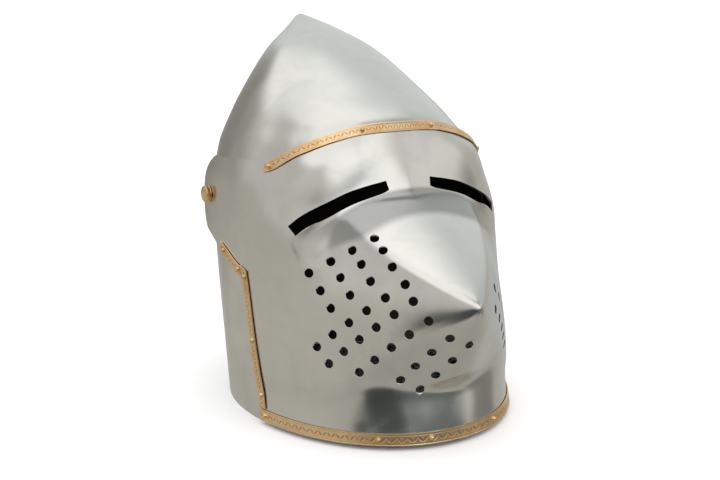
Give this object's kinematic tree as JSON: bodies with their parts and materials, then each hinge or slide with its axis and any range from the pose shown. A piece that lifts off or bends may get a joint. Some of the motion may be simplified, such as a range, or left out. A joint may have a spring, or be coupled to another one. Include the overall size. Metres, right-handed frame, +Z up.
{
  "type": "pig-faced bascinet",
  "caption": "Steel helmet with a pointed skull and a snouted visor that turns on two temple pivots, with pierced cheeks, eye slots and riveted brass edge strips.",
  "frame": {"origin": "on the ground under the middle of the helmet's length, where the skull's rim stands", "axes": "+Z up, -Y the way the face looks, +X the wearer's left"},
  "size_m": [0.2164, 0.3022, 0.2906],
  "materials": {
    "steel": "polished, with soft hammered unevenness",
    "brass": "polished, with a chased pattern"
  },
  "bodies": {
    "helmet": {"skull": "steel", "pivot_left": "brass", "pivot_right": "brass"},
    "visor": {"visor": "steel", "brow_strip": "brass", "chin_strip": "brass", "cheek_strip_lower_left": "brass", "cheek_strip_lower_right": "brass", "cheek_strip_upper_left": "brass", "cheek_strip_upper_right": "brass", "brow_rivet_1": "brass", "brow_rivet_2": "brass", "brow_rivet_3": "brass", "brow_rivet_4": "brass", "chin_rivet_1": "brass", "chin_rivet_2": "brass", "chin_rivet_3": "brass", "chin_rivet_4": "brass", "chin_rivet_5": "brass", "cheek_rivet_lower_left_1": "brass", "cheek_rivet_lower_right_1": "brass", "cheek_rivet_lower_left_2": "brass", "cheek_rivet_lower_right_2": "brass", "cheek_rivet_lower_left_3": "brass", "cheek_rivet_lower_right_3": "brass", "cheek_rivet_upper_left_1": "brass", "cheek_rivet_upper_right_1": "brass", "cheek_rivet_upper_left_2": "brass", "cheek_rivet_upper_right_2": "brass"}
  },
  "joints": [
    {"name": "visor_hinge", "type": "hinge", "parent": "helmet", "child": "visor", "pos_m": [0, 0.0625, 0.157], "axis": [-1, 0, 0], "range_deg": [0, 55]}
  ]
}
